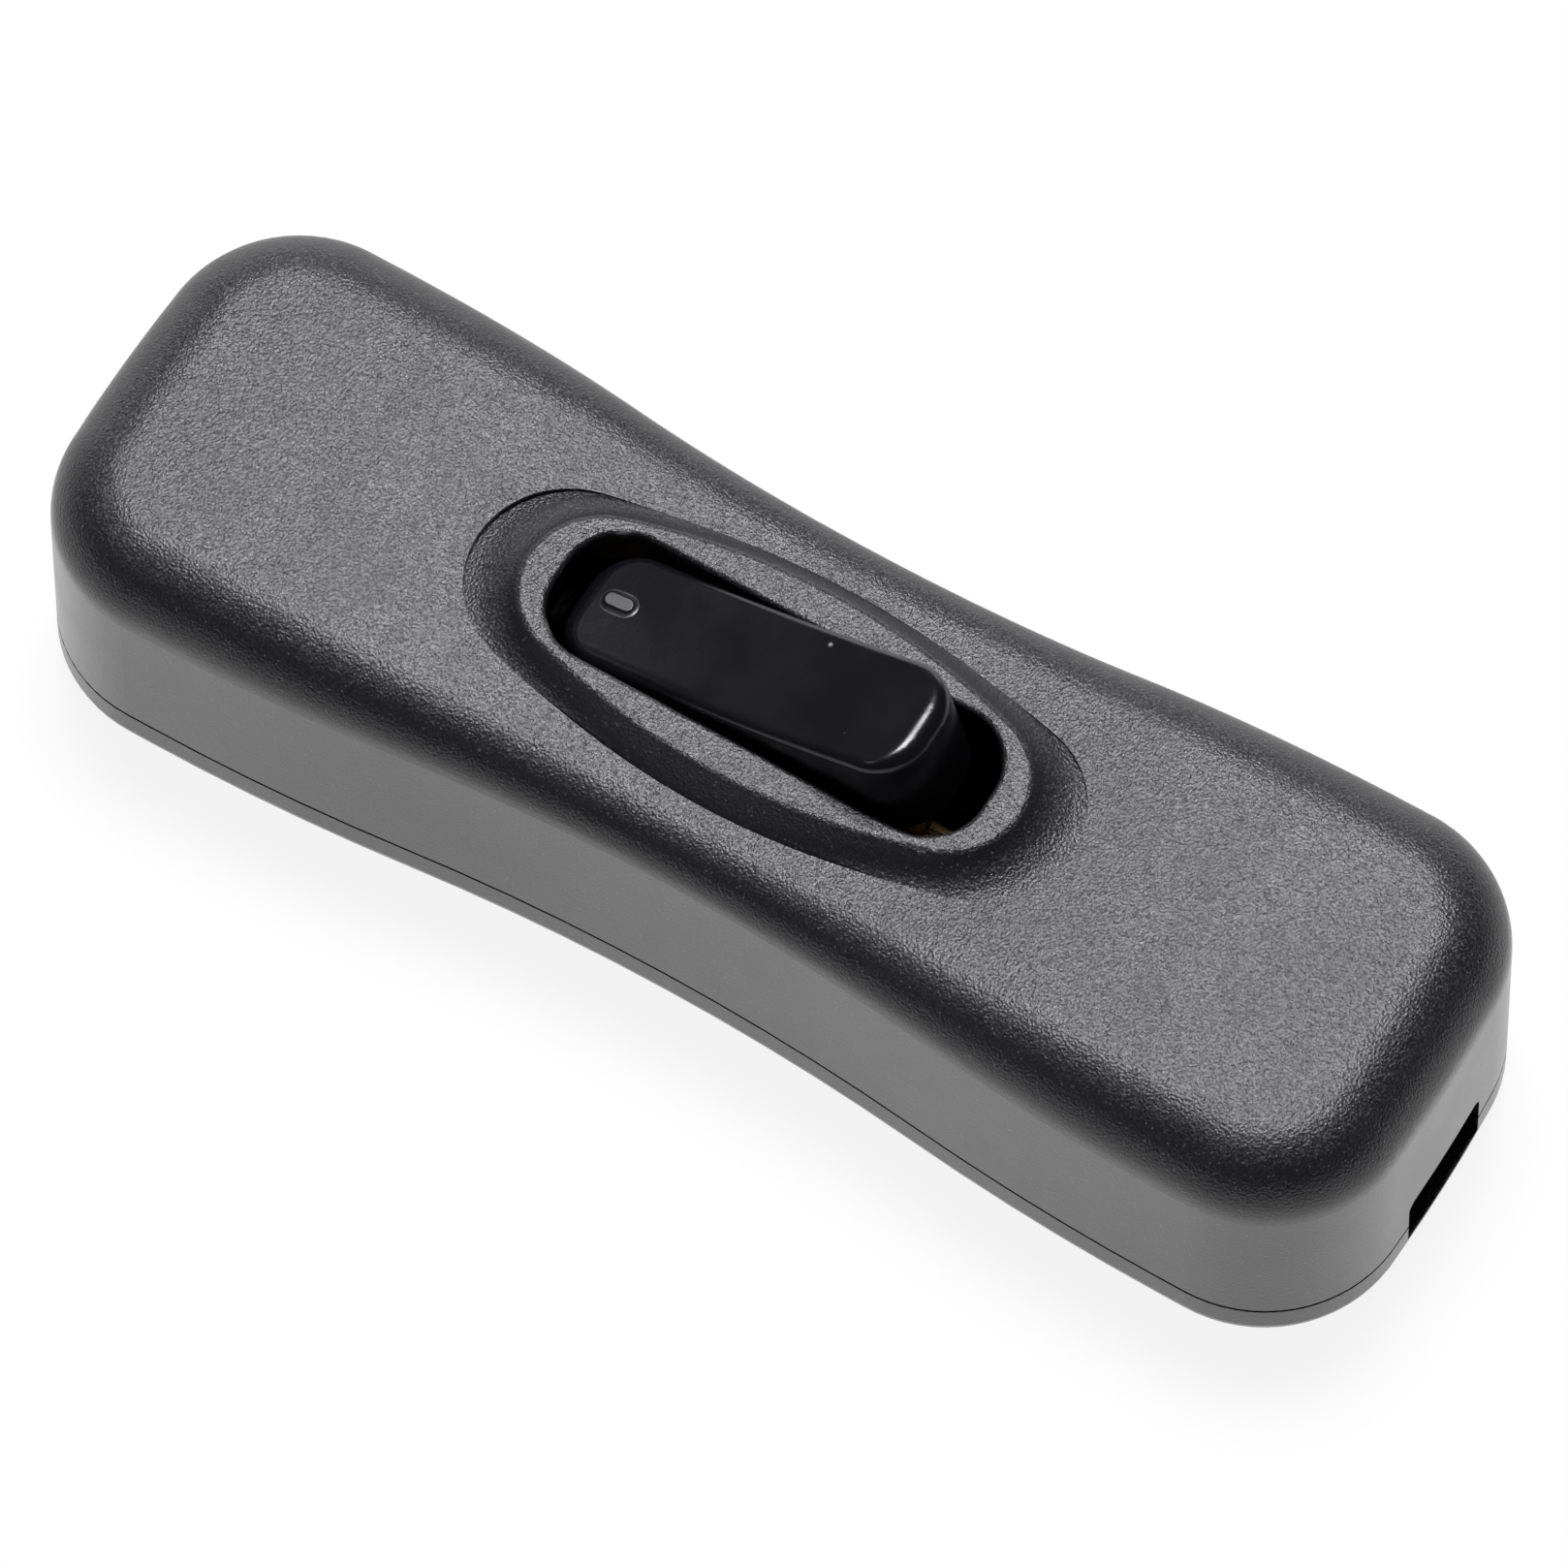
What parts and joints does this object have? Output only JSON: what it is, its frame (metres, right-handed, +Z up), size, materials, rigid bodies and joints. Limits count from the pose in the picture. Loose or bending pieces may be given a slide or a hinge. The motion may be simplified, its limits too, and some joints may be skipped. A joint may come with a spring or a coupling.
{
  "type": "inline cord switch",
  "caption": "Waisted black inline cord switch with a tilting rocker in an oval collar, see-saw contact, terminals and cord clamps.",
  "frame": {"origin": "centre of the underside, on the surface that the switch lies on", "axes": "+X along the housing towards the right cord inlet, +Y across it away from the picture's viewer, +Z up through the rocker"},
  "size_m": [0.0622, 0.0196, 0.0165],
  "materials": {
    "textured_black": "fine spark-eroded texture",
    "glossy_black": "semi-gloss",
    "clamp_plastic": "plain",
    "plunger_plastic": "plain",
    "brass": "stamped",
    "plated_steel": "zinc plated",
    "silver": "polished"
  },
  "bodies": {
    "housing": {"cover": "textured_black", "base": "textured_black", "cover_screw_left": "plated_steel", "cover_screw_right": "plated_steel", "cord_clamp_left": "clamp_plastic", "cord_clamp_right": "clamp_plastic", "clamp_screws_left": "plated_steel", "clamp_screws_right": "plated_steel", "line_in_terminal": "brass", "line_out_terminal": "brass", "neutral_terminal": "brass", "line_in_screw": "plated_steel", "line_out_screw": "plated_steel", "neutral_screw_left": "plated_steel", "neutral_screw_right": "plated_steel", "line_in_washer": "plated_steel", "line_out_washer": "plated_steel", "neutral_washer_left": "plated_steel", "neutral_washer_right": "plated_steel", "fixed_contact": "silver"},
    "rocker_body": {"rocker": "glossy_black", "plunger": "plunger_plastic", "plunger_spring": "plated_steel"},
    "contact_bridge": {"seesaw_contact": "brass", "moving_contact": "silver"}
  },
  "joints": [
    {"name": "rocker_tilt", "type": "hinge", "parent": "housing", "child": "rocker_body", "pos_m": [0, 0, 0.011], "axis": [0, 1, 0], "range_deg": [0, 31]},
    {"name": "contact_rock", "type": "hinge", "parent": "housing", "child": "contact_bridge", "pos_m": [0, 0, 0.0052], "axis": [0, 1, 0], "range_deg": [-16, 0]}
  ],
  "couplings": [
    {"joint": "contact_rock", "follows": "rocker_tilt", "ratio": -0.51613}
  ]
}
